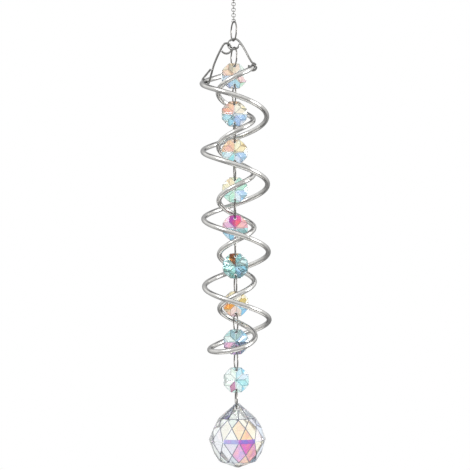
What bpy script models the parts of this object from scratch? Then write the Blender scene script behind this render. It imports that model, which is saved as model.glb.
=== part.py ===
"""Crystal suncatcher: a polished wire double spiral and a strand of faceted crystals hung from a fine chain.

Everything hangs from the origin, the crown of the hanging ring. +Z is up and the front faces -Y.
Lengths are in metres, turns in whole turns of the wire, angles in degrees.
"""

import math

import bmesh
import bpy
from mathutils import Matrix, Vector

# Clear space left where one hanging piece bears on the next.
TOUCH_GAP = 0.00015

# Round rings of the chain, the strand and the hanging point.
RING_WIRE = 0.0008
RING_RADIUS = 0.0053
RING_STEPS = 16
LINK_WIRE = 0.00038
LINK_PLAY = 0.00089
LINK_COUNT = 11
LINK_STEPS = 8
WIRE_SIDES = 6

# The two bent wires that carry the spiral. Each has an eye at its top, and the eyes are linked.
BAIL_WIRE = 0.0011
RIGHT_EYE_RADIUS = 0.00325
LEFT_EYE_RADIUS = 0.0028
EYE_PLAY = 0.0002
EYE_TILT = 22.0
EYE_LINE = 30.0
BAIL_DROP = 0.0120
RIGHT_LEG_SLOPE = 42.0
FOOT_PLAY = 0.00015
LEFT_FOOT_LENGTH = 0.0102
LEFT_FOOT_LEAN = 38.5
ARM_STEP = 20.0
LEG_STEPS = 9

# The spiral is one round rod: an inner winding goes down, turns back and climbs as an outer winding.
ROD_WIDTH = 0.0028
SPIRAL_SHIFT = 0.0008
OUTER_LEAN_ANGLE = 0.29
WINDINGS_APART = 0.0081
CRYSTAL_CLEARANCE = 0.00085
ROD_START_TURN = 0.014
INNER_TURNS = 5.18
EASE_DOWN_TURNS = 0.22
EASE_UP_TURNS = 0.28
OUTER_TURNS = 4.01
WIDEN_FROM_TURN = 4.9
WIDEN_TO_TURN = 5.85
OUTER_END_STEP = 0.0025
CRYSTALS_INSIDE = 8
BOTTOM_BELOW_CRYSTAL = 0.0051
RIGHT_FOOT_TURN = 0.03
LEFT_FOOT_TURNS_BEFORE_END = 0.115
ROD_STEPS_PER_TURN = 24

# Eight-sided crystals, drilled from front to back near the top and the bottom edge.
CRYSTAL_COUNT = 9
CRYSTAL_ACROSS = 0.014
CRYSTAL_CORNER_RADIUS = 0.00735
CRYSTAL_STAR_RADIUS = 0.0046
CRYSTAL_THICKNESS = 0.0064
CRYSTAL_EDGE = 0.0012
CRYSTAL_HOLE_INSET = 0.00185
HOLE_PLAY = 0.0004

# How far each strand ring is turned about the plumb line, from top to bottom.
STRAND_RING_TURNS = (17.0, 9.0, 5.0, 5.0, 3.0, -1.0, 7.0, 12.0, 10.0, 5.0)
TOP_RING_TURN = 16.0

# The ball is ground in rows of facets. A row is its height angle, its distance from the centre as a share
# of the ball's radius, and whether its facets stand between those of the middle rows.
BALL_RADIUS = 0.0159
BALL_FACETS_ROUND = 11
BALL_SIDE_ROWS = (
    (16.6, 0.9207, False),
    (24.65, 0.9101, True),
    (34.4, 0.939, False),
)
BALL_BASE_ROW = (-69.2, 0.9176, True)
BALL_CROWN_ANGLE = 48.0
BALL_TIP_RISE = 0.004
BALL_TIP_WIDTH = 0.0022
BALL_RING_INSET = 0.0028
BALL_HOLE = 0.0026
BALL_HOLE_RAISE = 0.0005
BALL_TURN = 27.5
BALL_SHIFT = 0.00055
DRILL_SIDES = 12

# Sizes that follow from the ones above.
LINK_OPENING = RING_WIRE + LINK_PLAY
LINK_RADIUS = (LINK_OPENING + LINK_WIRE) / 2
LINK_PITCH = LINK_OPENING - TOUCH_GAP
EYE_SPACING = RIGHT_EYE_RADIUS + LEFT_EYE_RADIUS - BAIL_WIRE - EYE_PLAY
FOOT_RADIUS = (ROD_WIDTH + BAIL_WIRE) / 2 + FOOT_PLAY
INNER_RADIUS = CRYSTAL_CORNER_RADIUS + CRYSTAL_CLEARANCE + ROD_WIDTH / 2
OUTER_RADIUS = INNER_RADIUS + WINDINGS_APART
CRYSTAL_HOLE = RING_WIRE + 2 * HOLE_PLAY
BALL_TIP_HEIGHT = BALL_RADIUS + BALL_TIP_RISE
BALL_RING_HEIGHT = BALL_TIP_HEIGHT - BALL_RING_INSET
HOLE_TO_CENTRE = CRYSTAL_ACROSS / 2 - CRYSTAL_HOLE_INSET
CRYSTAL_PITCH = 2 * (RING_RADIUS + HOLE_TO_CENTRE)
LOWEST_TURN = INNER_TURNS + EASE_DOWN_TURNS
CLIMB_TURN = LOWEST_TURN + EASE_UP_TURNS
LAST_TURN = CLIMB_TURN + OUTER_TURNS


def eye_half_height():
    """Half the height of the right eye's centre line, in a plane that leans about the line of the eyes."""
    line = math.radians(EYE_LINE)
    tilt = math.radians(EYE_TILT)
    return RIGHT_EYE_RADIUS * math.hypot(math.sin(line), math.cos(line) * math.cos(tilt))


def ring_fall():
    """How far a ring's crown has fallen where the leaning eye crosses it, off the plumb line."""
    depth = RIGHT_EYE_RADIUS * math.sin(math.radians(EYE_TILT))
    return RING_RADIUS - math.sqrt(RING_RADIUS**2 - depth**2)


# Heights down the plumb line, each hung from the one above.
RING_IN_EYE = (RING_WIRE + BAIL_WIRE) / 2 + TOUCH_GAP + ring_fall()
HANGING_RING_Z = -(RING_RADIUS - RING_WIRE / 2)
FIRST_LINK_Z = HANGING_RING_Z - RING_RADIUS + (RING_WIRE + LINK_WIRE) / 2 + TOUCH_GAP - LINK_RADIUS
LAST_LINK_Z = FIRST_LINK_Z - (LINK_COUNT - 1) * LINK_PITCH
TOP_RING_Z = LAST_LINK_Z - LINK_RADIUS + (RING_WIRE + LINK_WIRE) / 2 + TOUCH_GAP - RING_RADIUS
RIGHT_EYE_Z = TOP_RING_Z - RING_RADIUS + RING_IN_EYE - eye_half_height()
FIRST_STRAND_RING_Z = RIGHT_EYE_Z - eye_half_height() + RING_IN_EYE - RING_RADIUS
FIRST_CRYSTAL_Z = FIRST_STRAND_RING_Z - RING_RADIUS - HOLE_TO_CENTRE
LAST_STRAND_RING_Z = FIRST_STRAND_RING_Z - CRYSTAL_COUNT * CRYSTAL_PITCH
BALL_Z = LAST_STRAND_RING_Z - RING_RADIUS - BALL_RING_HEIGHT
ROD_TOP_Z = RIGHT_EYE_Z - BAIL_DROP
ROD_BOTTOM_Z = FIRST_CRYSTAL_Z - (CRYSTALS_INSIDE - 1) * CRYSTAL_PITCH - BOTTOM_BELOW_CRYSTAL
ROD_END_Z = ROD_TOP_Z - OUTER_END_STEP
INNER_PITCH = (ROD_TOP_Z - ROD_BOTTOM_Z) / (INNER_TURNS + EASE_DOWN_TURNS / 2)
OUTER_PITCH = (ROD_END_Z - ROD_BOTTOM_Z) / (OUTER_TURNS + EASE_UP_TURNS / 2)


def clear_scene():
    for obj in list(bpy.data.objects):
        bpy.data.objects.remove(obj, do_unlink=True)


def new_collection(name):
    collection = bpy.data.collections.new(name)
    bpy.context.scene.collection.children.link(collection)
    return collection


def new_material(name, colour, metallic, roughness, transmission=0.0):
    material = bpy.data.materials.new(name)
    material.use_nodes = True
    shader = material.node_tree.nodes["Principled BSDF"]
    shader.inputs["Base Color"].default_value = (*colour, 1.0)
    shader.inputs["Metallic"].default_value = metallic
    shader.inputs["Roughness"].default_value = roughness
    shader.inputs["Transmission Weight"].default_value = transmission
    return material


def add_object(name, data, collection, material):
    """Puts a mesh or a curve into the scene. Copies of one mesh take its material once."""
    obj = bpy.data.objects.new(name, data)
    if not data.materials:
        data.materials.append(material)
    collection.objects.link(obj)
    return obj


def torus_mesh(name, radius, wire, steps):
    """A closed round ring of wire, lying flat, with a corner of its outline at each quarter."""
    bpy.ops.mesh.primitive_torus_add(
        major_radius=radius,
        minor_radius=wire / 2,
        major_segments=steps,
        minor_segments=WIRE_SIDES,
    )
    made = bpy.context.object
    mesh = made.data
    mesh.name = name
    mesh.shade_smooth()
    bpy.data.objects.remove(made)
    return mesh


def hang_ring(name, mesh, height, turn, collection, material):
    """Stands a ring upright on the plumb line. At turn 0 it faces the front, at 90 it is seen edge-on."""
    ring = add_object(name, mesh, collection, material)
    ring.location = (0.0, 0.0, height)
    ring.rotation_euler = (math.pi / 2, 0.0, math.radians(turn))
    return ring


def wire_object(name, points, width, resolution, collection, material):
    """A round wire through the points, with flat filled ends."""
    curve = bpy.data.curves.new(name, "CURVE")
    curve.dimensions = "3D"
    curve.bevel_depth = width / 2
    curve.bevel_resolution = resolution
    curve.use_fill_caps = True
    spline = curve.splines.new("POLY")
    spline.points.add(len(points) - 1)
    for target, point in zip(spline.points, points):
        target.co = (*point, 1.0)
    return add_object(name, curve, collection, material)


def smooth_share(value):
    """0 to 1 with a level start and end."""
    value = min(max(value, 0.0), 1.0)
    return value * value * (3 - 2 * value)


def rod_point(turn):
    """The rod's centre line. Turn 0 is at the right, and the rod runs by the front to the left.

    The outer winding leans a little to the left on its way up, where the left arm pulls it.
    """
    widened = smooth_share((turn - WIDEN_FROM_TURN) / (WIDEN_TO_TURN - WIDEN_FROM_TURN))
    radius = INNER_RADIUS + widened * (OUTER_RADIUS - INNER_RADIUS)
    if turn < INNER_TURNS:
        height = ROD_TOP_Z - INNER_PITCH * turn
    elif turn < LOWEST_TURN:
        height = ROD_BOTTOM_Z + INNER_PITCH * (LOWEST_TURN - turn) ** 2 / (2 * EASE_DOWN_TURNS)
    elif turn < CLIMB_TURN:
        height = ROD_BOTTOM_Z + OUTER_PITCH * (turn - LOWEST_TURN) ** 2 / (2 * EASE_UP_TURNS)
    else:
        height = ROD_END_Z - OUTER_PITCH * (LAST_TURN - turn)
    angle = -2 * math.pi * turn
    lean = widened * math.tan(math.radians(OUTER_LEAN_ANGLE))
    middle = SPIRAL_SHIFT - lean * (height - ROD_BOTTOM_Z)
    return Vector((middle + radius * math.cos(angle), radius * math.sin(angle), height))


def rod_direction(turn):
    step = 0.001
    return (rod_point(turn + step) - rod_point(turn - step)).normalized()


def rod_points():
    count = round((LAST_TURN - ROD_START_TURN) * ROD_STEPS_PER_TURN)
    span = LAST_TURN - ROD_START_TURN
    return [rod_point(ROD_START_TURN + span * step / count) for step in range(count + 1)]


def arc(centre, across, up, radius, start, end):
    """Points on a circle in the plane of two unit vectors, from one angle to another in even steps."""
    count = max(2, round(abs(end - start) / ARM_STEP))
    points = []
    for step in range(count + 1):
        angle = math.radians(start + (end - start) * step / count)
        points.append(centre + radius * (math.cos(angle) * across + math.sin(angle) * up))
    return points


def leg(start, start_pull, end, end_pull):
    """The bent wire between two eyes: a cubic curve that leaves and arrives along the given pulls."""
    points = []
    for step in range(1, LEG_STEPS):
        share = step / LEG_STEPS
        rest = 1 - share
        near = start + start_pull
        far = end - end_pull
        points.append(
            rest**3 * start + 3 * rest**2 * share * near + 3 * rest * share**2 * far + share**3 * end
        )
    return points


def eye_frame(side):
    """The plane of an eye: along the line of the eyes, and square to it, leaning back (1) or forward (-1)."""
    line = math.radians(EYE_LINE)
    tilt = math.radians(EYE_TILT)
    along = Vector((math.cos(line), 0.0, math.sin(line)))
    square = Vector((-math.sin(line), 0.0, math.cos(line)))
    upright = math.cos(tilt) * square + side * math.sin(tilt) * Vector((0.0, 1.0, 0.0))
    return along, upright


def foot_frame(turn):
    """The plane square to the rod at a turn: to the right, and upwards."""
    direction = rod_direction(turn)
    upward = (Vector((0.0, 0.0, 1.0)) - direction.z * direction).normalized()
    right = direction.cross(upward)
    if right.x < 0:
        right = -right
    return right, upward


def right_arm_points():
    """From the open end of its eye, round the eye and down the leg, to the small eye round the rod's end."""
    along, upright = eye_frame(1)
    centre = Vector((0.0, 0.0, RIGHT_EYE_Z))
    eye = arc(centre, along, upright, RIGHT_EYE_RADIUS, -35.0, -307.0)
    right, upward = foot_frame(RIGHT_FOOT_TURN)
    foot = arc(rod_point(RIGHT_FOOT_TURN), right, upward, FOOT_RADIUS, 85.0, -205.0)
    length = (foot[0] - eye[-1]).length
    leaving = (eye[-1] - eye[-2]).normalized() * length * 0.22
    slope = math.radians(RIGHT_LEG_SLOPE)
    arriving = Vector((math.cos(slope), 0.0, -math.sin(slope))) * length * 0.17
    return eye + leg(eye[-1], leaving, foot[0], arriving) + foot


def left_arm_points():
    """From the open end of its eye, round the eye and down the leg, to the long eye under the rod."""
    along, upright = eye_frame(-1)
    centre = Vector((0.0, 0.0, RIGHT_EYE_Z)) - EYE_SPACING * along
    eye = arc(centre, along, upright, LEFT_EYE_RADIUS, 180.0, 448.0)
    turn = LAST_TURN - LEFT_FOOT_TURNS_BEFORE_END
    right, upward = foot_frame(turn)
    lean = math.radians(LEFT_FOOT_LEAN)
    point_up = math.cos(lean) * upward + math.sin(lean) * right
    point_side = math.cos(lean) * right - math.sin(lean) * upward
    spread = math.degrees(math.asin(FOOT_RADIUS / LEFT_FOOT_LENGTH))
    bend = arc(rod_point(turn), point_side, point_up, FOOT_RADIUS, spread, -180.0 - spread)
    side_length = LEFT_FOOT_LENGTH * math.cos(math.radians(spread))
    open_space = (BAIL_WIRE + TOUCH_GAP) / (2 * math.tan(math.radians(spread)))
    rising = math.cos(math.radians(spread)) * point_up + math.sin(math.radians(spread)) * point_side
    falling = math.sin(math.radians(spread)) * point_side - math.cos(math.radians(spread)) * point_up
    shoulder = bend[0] - falling * side_length * 0.9
    end = bend[-1] + rising * (side_length - open_space)
    length = (shoulder - eye[-1]).length
    leaving = (eye[-1] - eye[-2]).normalized() * length * 0.05
    return eye + leg(eye[-1], leaving, shoulder, falling * length * 0.30) + [shoulder] + bend + [end]


def crystal_mesh():
    """Eight kite facets meet in a point on each face. Small triangles lead from them to the thin edge."""
    half = CRYSTAL_THICKNESS / 2
    edge = CRYSTAL_EDGE / 2
    between = math.radians(22.5)
    fall = (half - edge) / CRYSTAL_CORNER_RADIUS
    star_height = half - fall * CRYSTAL_STAR_RADIUS * math.cos(between)
    bm = bmesh.new()
    for side in (-1, 1):
        bm.verts.new((0.0, side * half, 0.0))
        for step in range(8):
            flat = 2 * between * step
            corner = flat + between
            for radius, height, angle in (
                (CRYSTAL_STAR_RADIUS, star_height, flat),
                (CRYSTAL_ACROSS / 2, edge, flat),
                (CRYSTAL_CORNER_RADIUS, edge, corner),
            ):
                bm.verts.new((radius * math.cos(angle), side * height, radius * math.sin(angle)))
    bmesh.ops.convex_hull(bm, input=bm.verts)
    bmesh.ops.recalc_face_normals(bm, faces=bm.faces)
    mesh = bpy.data.meshes.new("octagon_crystal")
    bm.to_mesh(mesh)
    bm.free()
    return mesh


def cut_facet(bm, normal, distance):
    """Grinds one flat: all that lies beyond the plane goes, and the cut is closed."""
    everything = bm.verts[:] + bm.edges[:] + bm.faces[:]
    bmesh.ops.bisect_plane(
        bm, geom=everything, dist=1e-8, plane_co=normal * distance, plane_no=normal, clear_outer=True
    )
    rim = [edge for edge in bm.edges if edge.is_boundary]
    bmesh.ops.holes_fill(bm, edges=rim)


def ball_rows():
    """Every row as (height angle, distance, set between). The crown's facets run up to the rim of the tip."""
    rows = []
    for angle, share, between in BALL_SIDE_ROWS:
        rows.append((angle, share * BALL_RADIUS, between))
        rows.append((-angle, share * BALL_RADIUS, between))
    angle, share, between = BALL_BASE_ROW
    rows.append((angle, share * BALL_RADIUS, between))
    crown = math.radians(BALL_CROWN_ANGLE)
    crown_distance = BALL_TIP_HEIGHT * math.sin(crown) + BALL_TIP_WIDTH / 2 * math.cos(crown)
    rows.append((BALL_CROWN_ANGLE, crown_distance, False))
    return rows


def ball_mesh():
    """A block ground to a ball by rows of facets, with a level tip above the topmost row."""
    bm = bmesh.new()
    bmesh.ops.create_cube(bm, size=4 * BALL_TIP_HEIGHT)
    step = 2 * math.pi / BALL_FACETS_ROUND
    for height_angle, distance, between in ball_rows():
        lift = math.radians(height_angle)
        for index in range(BALL_FACETS_ROUND):
            round_angle = math.radians(BALL_TURN) + step * (index + (0.5 if between else 0.0))
            normal = Vector((
                math.cos(lift) * math.cos(round_angle),
                math.cos(lift) * math.sin(round_angle),
                math.sin(lift),
            ))
            cut_facet(bm, normal, distance)
    cut_facet(bm, Vector((0.0, 0.0, 1.0)), BALL_TIP_HEIGHT)
    bmesh.ops.recalc_face_normals(bm, faces=bm.faces)
    mesh = bpy.data.meshes.new("crystal_ball")
    bm.to_mesh(mesh)
    bm.free()
    return mesh


def drill(piece, name, height, width, length, cutters):
    """Drills a round hole through a piece from front to back, at a height above its centre."""
    bm = bmesh.new()
    bmesh.ops.create_cone(
        bm, cap_ends=True, segments=DRILL_SIDES, radius1=width / 2, radius2=width / 2, depth=length
    )
    bmesh.ops.rotate(bm, verts=bm.verts, matrix=Matrix.Rotation(math.pi / 2, 3, "X"))
    bmesh.ops.translate(bm, verts=bm.verts, vec=(0.0, 0.0, height))
    mesh = bpy.data.meshes.new(name)
    bm.to_mesh(mesh)
    bm.free()
    cutter = bpy.data.objects.new(name, mesh)
    cutters.objects.link(cutter)
    cutter.hide_render = True
    cutter.display_type = "WIRE"
    cutter.parent = piece
    hole = piece.modifiers.new(name, "BOOLEAN")
    hole.operation = "DIFFERENCE"
    hole.object = cutter
    return cutter


def build_chain(collection, material):
    mesh = torus_mesh("chain_link", LINK_RADIUS, LINK_WIRE, LINK_STEPS)
    for index in range(LINK_COUNT):
        name = f"chain_link_{index + 1:02d}"
        height = FIRST_LINK_Z - index * LINK_PITCH
        turn = 90.0 if index % 2 else 0.0
        hang_ring(name, mesh, height, turn, collection, material)


def build_rings(collection, material):
    mesh = torus_mesh("round_ring", RING_RADIUS, RING_WIRE, RING_STEPS)
    hang_ring("hanging_ring", mesh, HANGING_RING_Z, 90.0, collection, material)
    hang_ring("top_ring", mesh, TOP_RING_Z, 90.0 + TOP_RING_TURN, collection, material)
    for index in range(CRYSTAL_COUNT + 1):
        name = f"strand_ring_{index + 1:02d}"
        height = FIRST_STRAND_RING_Z - index * CRYSTAL_PITCH
        hang_ring(name, mesh, height, 90.0 + ring_turn(index), collection, material)


def ring_turn(index):
    return STRAND_RING_TURNS[index % len(STRAND_RING_TURNS)]


def build_crystals(collection, cutters, material):
    """Each crystal hangs turned halfway between the rings above and below it."""
    mesh = crystal_mesh()
    for index in range(CRYSTAL_COUNT):
        name = f"octagon_crystal_{index + 1:02d}"
        turn = (ring_turn(index) + ring_turn(index + 1)) / 2
        crystal = add_object(name, mesh, collection, material)
        crystal.location = (0.0, 0.0, FIRST_CRYSTAL_Z - index * CRYSTAL_PITCH)
        crystal.rotation_euler = (0.0, 0.0, math.radians(turn))
        for end, side in (("upper", 1), ("lower", -1)):
            height = side * HOLE_TO_CENTRE
            drill(crystal, f"drill_{name}_{end}", height, CRYSTAL_HOLE, 2 * CRYSTAL_THICKNESS, cutters)


def build_ball(collection, cutters, material):
    """The ball hangs a little to the right, as its hole is drilled off its middle, in line with the ring."""
    ball = add_object("crystal_ball", ball_mesh(), collection, material)
    ball.location = (BALL_SHIFT, 0.0, BALL_Z)
    height = BALL_RING_HEIGHT + BALL_HOLE_RAISE
    cutter = drill(ball, "drill_ball", height, BALL_HOLE, 4 * BALL_RING_HEIGHT, cutters)
    cutter.location = (-BALL_SHIFT, 0.0, 0.0)
    cutter.rotation_euler = (0.0, 0.0, math.radians(ring_turn(CRYSTAL_COUNT)))


def build_suncatcher():
    clear_scene()
    collection = new_collection("crystal_suncatcher")
    cutters = new_collection("cutters")
    steel = new_material("polished_steel_wire", (0.60, 0.59, 0.57), 1.0, 0.16)
    crystal = new_material("coated_cut_crystal", (0.93, 0.96, 0.97), 0.0, 0.02, transmission=1.0)
    build_rings(collection, steel)
    build_chain(collection, steel)
    wire_object("bail_arm_right", right_arm_points(), BAIL_WIRE, 1, collection, steel)
    wire_object("bail_arm_left", left_arm_points(), BAIL_WIRE, 1, collection, steel)
    wire_object("spiral_rod", rod_points(), ROD_WIDTH, 2, collection, steel)
    build_crystals(collection, cutters, crystal)
    build_ball(collection, cutters, crystal)


build_suncatcher()
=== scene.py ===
# %% [markdown]
# # A crystal suncatcher, from the hook down
# A suncatcher hangs in a window and throws coloured light into the room. This one is a double
# spiral of polished steel rod with a strand of drilled crystals down its middle and a faceted ball
# below. Everything is fine wire and cut stone, so this lesson bends wires, grinds facets and then
# spends its care on two finishes: bright steel, and clear crystal with a rainbow coating.

# %% Load the fixed frame
import math
import random

import bpy
from mathutils import Matrix, Vector


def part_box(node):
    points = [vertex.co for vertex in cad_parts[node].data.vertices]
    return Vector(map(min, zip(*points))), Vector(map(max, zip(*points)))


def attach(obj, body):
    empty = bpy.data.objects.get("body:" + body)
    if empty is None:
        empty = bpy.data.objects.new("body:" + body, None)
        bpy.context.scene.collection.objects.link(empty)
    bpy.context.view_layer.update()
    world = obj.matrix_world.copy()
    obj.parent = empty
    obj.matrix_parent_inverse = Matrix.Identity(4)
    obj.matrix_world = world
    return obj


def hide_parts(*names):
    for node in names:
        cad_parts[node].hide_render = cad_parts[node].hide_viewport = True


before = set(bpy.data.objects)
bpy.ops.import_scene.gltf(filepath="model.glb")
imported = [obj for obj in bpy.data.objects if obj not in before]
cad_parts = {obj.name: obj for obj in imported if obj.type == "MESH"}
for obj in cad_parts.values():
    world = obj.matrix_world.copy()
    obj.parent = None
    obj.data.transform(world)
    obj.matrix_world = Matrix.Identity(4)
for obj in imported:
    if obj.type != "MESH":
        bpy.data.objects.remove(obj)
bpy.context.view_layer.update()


# %% [markdown]
# ## Small helpers
# An operator acts on whatever is selected, as it does for a person at the screen. So each piece
# starts with nothing selected, and each job opens edit mode, works and leaves it again.

# %% Selecting and editing
def put_down_everything():
    """Nothing is selected afterwards."""
    if bpy.context.mode != "OBJECT":
        bpy.ops.object.mode_set(mode="OBJECT")
    bpy.ops.object.select_all(action="DESELECT")


def take_up(piece):
    """Only this piece is selected, and operators act on it."""
    put_down_everything()
    piece.select_set(True)
    bpy.context.view_layer.objects.active = piece


def open_for_editing(piece):
    take_up(piece)
    bpy.ops.object.mode_set(mode="EDIT")
    bpy.ops.mesh.select_all(action="SELECT")


def finish_with(piece, kind, **settings):
    """Adds a modifier with its settings and applies it at once."""
    take_up(piece)
    modifier = piece.modifiers.new(kind.title(), kind)
    for name, value in settings.items():
        setattr(modifier, name, value)
    bpy.ops.object.modifier_apply(modifier=modifier.name)


def faces_of(piece):
    return len(piece.data.polygons)


# %% [markdown]
# ## Where each piece hangs
# The solids already hang in their places, so a piece asks its solid for the middle of its box. The
# strand rings are nearly edge-on, each turned a few degrees, and a crystal hangs halfway between
# the turns of its two rings.

# %% Middles and turns
# Degrees from edge-on, for the strand rings from the top down.
STRAND_RING_TURNS = (17.0, 9.0, 5.0, 5.0, 3.0, -1.0, 7.0, 12.0, 10.0, 5.0)
TOP_RING_TURN = 16.0


def middle_of(node):
    low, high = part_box(node)
    return (low + high) / 2


def hand_over(piece, node):
    """The finished piece rides with the suncatcher and stands for its solid."""
    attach(piece, "root")
    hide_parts(node)


def hang_copy(model, node, place, material):
    """A copy with a mesh of its own, put in its place in the mesh itself."""
    piece = bpy.data.objects.new(node + "_piece", model.data.copy())
    bpy.context.scene.collection.objects.link(piece)
    piece.data.transform(place)
    piece.data.materials.clear()
    piece.data.materials.append(material)
    hand_over(piece, node)
    return piece


print("first crystal at", [round(c, 4) for c in middle_of("octagon_crystal_01")])

# %% [markdown]
# ## The camera
# The picture was taken level, from about 0.7 m, a little below the middle of the spiral, and the
# suncatcher hangs a hair out of plumb in it. Turning the camera 0.4 degrees about its line of sight
# gives the same lean. The frame is raised with the lens shift, so that the plumb line stays upright.

# %% Camera
FRAME_PIXELS = 470
FOCAL_PIXELS = 1263.0
RAISED_PIXELS = 68
SENSOR_WIDTH = 36.0
CAMERA_PLACE = (-0.00034, -0.695, -0.1811)
CAMERA_ROLL = 0.4

bpy.ops.object.camera_add(
    location=CAMERA_PLACE, rotation=(math.radians(90), math.radians(CAMERA_ROLL), 0)
)
camera = bpy.context.object
camera.name = "level_camera"
camera.data.sensor_width = SENSOR_WIDTH
camera.data.lens = FOCAL_PIXELS / FRAME_PIXELS * SENSOR_WIDTH
camera.data.shift_y = RAISED_PIXELS / FRAME_PIXELS
camera.data.clip_start = 0.01
bpy.context.scene.camera = camera
print("lens", round(camera.data.lens, 1), "mm")

# %% [markdown]
# ## Colours and nodes
# Colours are given as the hex values of a paint chart. Blender works with light itself, so one
# function turns a chart value into its linear amount. Another adds a node, sets it and joins it up.

# %% Colour and node helpers
# A Mix node that is set to colours takes them on its sockets 6 and 7, and gives the result on 2.
MIX_FIRST, MIX_SECOND, MIX_RESULT = 6, 7, 2
MIX_COLOURS = {"data_type": "RGBA"}
MULTIPLY_COLOURS = {"data_type": "RGBA", "blend_type": "MULTIPLY"}


def chart(hex_value):
    """A chart colour such as C9C6C0 as linear red, green, blue and a full alpha."""
    channels = [int(hex_value[at : at + 2], 16) / 255 for at in (0, 2, 4)]
    return (*[c / 12.92 if c <= 0.04045 else ((c + 0.055) / 1.055) ** 2.4 for c in channels], 1.0)


def add_node(tree, kind, settings=None, values=None, links=None):
    """A node with its settings, its socket values, and links given as socket: (node, output)."""
    node = tree.nodes.new(kind)
    for name, value in (settings or {}).items():
        setattr(node, name, value)
    for name, value in (values or {}).items():
        node.inputs[name].default_value = value
    for name, (source, output) in (links or {}).items():
        tree.links.new(source.outputs[output], node.inputs[name])
    return node


def paint_ramp(node, stops):
    """Sets the stops of a colour ramp, each a place from 0 to 1 and a chart colour."""
    ramp = node.color_ramp
    while len(ramp.elements) > 1:
        ramp.elements.remove(ramp.elements[-1])
    ramp.elements[0].position = stops[0][0]
    ramp.elements[0].color = chart(stops[0][1])
    for place, hex_value in stops[1:]:
        ramp.elements.new(place).color = chart(hex_value)


def new_material(name):
    """An empty node material with its output and its shader, ready to be joined up."""
    material = bpy.data.materials.new(name)
    material.use_nodes = True
    return material, material.node_tree, material.node_tree.nodes["Principled BSDF"]


print("a chart colour in linear light:", [round(c, 3) for c in chart("C9C6C0")])

# %% [markdown]
# ## Studio: white paper, dark cards
# Clear stone and bright wire have no look of their own: they show what stands around them. In a
# plain white room they would vanish. So a photographer lights the paper behind the piece for the
# stones, and keeps dark cards above and below it for the wire, whose edges then get a dark line. Two
# skies do this here: what is mirrored sees the cards, and what is seen through a stone sees bright
# paper with only a narrow dark gap round it. The camera itself sees plain white paper.

# %% Directions round the suncatcher
world = bpy.data.worlds.new("white_studio")
bpy.context.scene.world = world
world.use_nodes = True
sky = world.node_tree
sky.nodes.clear()
towards = add_node(sky, "ShaderNodeTexCoord")
split = add_node(sky, "ShaderNodeSeparateXYZ", links={"Vector": (towards, "Generated")})
# From the camera's side (0) by the sides (0.5) to straight behind the suncatcher (1).
back = add_node(sky, "ShaderNodeMapRange", values={"From Min": -1.0}, links={"Value": (split, "Y")})
height = add_node(sky, "ShaderNodeMath", {"operation": "ABSOLUTE"}, links={0: (split, "Z")})
print("world:", world.name)

# %% The sky that is mirrored
MIRRORED_SKY = ((0.00, "DEDEDE"), (0.30, "D8D8D8"), (0.45, "F6F6F6"), (0.60, "ECECEC"), (1.00, "E6E6E6"))
LIGHT_BELOW, LIGHT_ABOVE = 0.36, 1.56
# The dark cards stand behind, one above and one below the frame. Each fades in over a stretch of
# height and over a stretch from the sides to the back.
CARD_HEIGHTS = (0.62, 0.84)
CARD_TO_THE_BACK = (0.46, 0.60)
CARD_COLOUR = "5C5C60"

mirrored = add_node(sky, "ShaderNodeValToRGB", links={"Fac": (back, "Result")})
paint_ramp(mirrored, MIRRORED_SKY)
high_or_low = add_node(
    sky,
    "ShaderNodeMapRange",
    values={"From Min": CARD_HEIGHTS[0], "From Max": CARD_HEIGHTS[1]},
    links={"Value": (height, "Value")},
)
behind = add_node(
    sky,
    "ShaderNodeMapRange",
    values={"From Min": CARD_TO_THE_BACK[0], "From Max": CARD_TO_THE_BACK[1]},
    links={"Value": (back, "Result")},
)
card = add_node(
    sky,
    "ShaderNodeMath",
    {"operation": "MULTIPLY"},
    links={0: (high_or_low, "Result"), 1: (behind, "Result")},
)
carded = add_node(
    sky,
    "ShaderNodeMix",
    MIX_COLOURS,
    values={MIX_SECOND: chart(CARD_COLOUR)},
    links={"Factor": (card, "Value"), MIX_FIRST: (mirrored, "Color")},
)
brighter_above = add_node(
    sky,
    "ShaderNodeMapRange",
    values={"From Min": -1.0, "To Min": LIGHT_BELOW, "To Max": LIGHT_ABOVE},
    links={"Value": (split, "Z")},
)
wire_sky = add_node(
    sky,
    "ShaderNodeBackground",
    links={"Color": (carded, MIX_RESULT), "Strength": (brighter_above, "Result")},
)
print("mirrored: light from", LIGHT_BELOW, "below to", LIGHT_ABOVE, "above")

# %% The sky that is seen through a stone
GAP = "4A505C"
SEEN_SKY = (
    (0.00, "E8E8E8"),
    (0.50, "FFFFFF"),
    (0.63, "FFFFFF"),
    (0.66, GAP),
    (0.70, GAP),
    (0.73, "FFFFFF"),
    (1.00, "FFFFFF"),
)
SEEN_LIGHT = 1.1

seen_through = add_node(sky, "ShaderNodeValToRGB", links={"Fac": (back, "Result")})
paint_ramp(seen_through, SEEN_SKY)
stone_sky = add_node(
    sky,
    "ShaderNodeBackground",
    values={"Strength": SEEN_LIGHT},
    links={"Color": (seen_through, "Color")},
)
print("seen through a stone:", len(SEEN_SKY), "stops")

# %% Which ray sees which sky
paper = add_node(sky, "ShaderNodeBackground", values={"Color": chart("FFFFFF"), "Strength": 1.0})
sight = add_node(sky, "ShaderNodeLightPath")
through = add_node(
    sky,
    "ShaderNodeMixShader",
    links={0: (sight, "Is Transmission Ray"), 1: (wire_sky, 0), 2: (stone_sky, 0)},
)
seen = add_node(
    sky, "ShaderNodeMixShader", links={0: (sight, "Is Camera Ray"), 1: (through, 0), 2: (paper, 0)}
)
add_node(sky, "ShaderNodeOutputWorld", links={"Surface": (seen, 0)})
print("nodes of the world:", len(sky.nodes))

# %% [markdown]
# Two soft lamps add the long highlight on the upper left of every wire and a weaker one on the right.

# %% Lamps
LAMP_AIM = (0, 0, -0.13)


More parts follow.
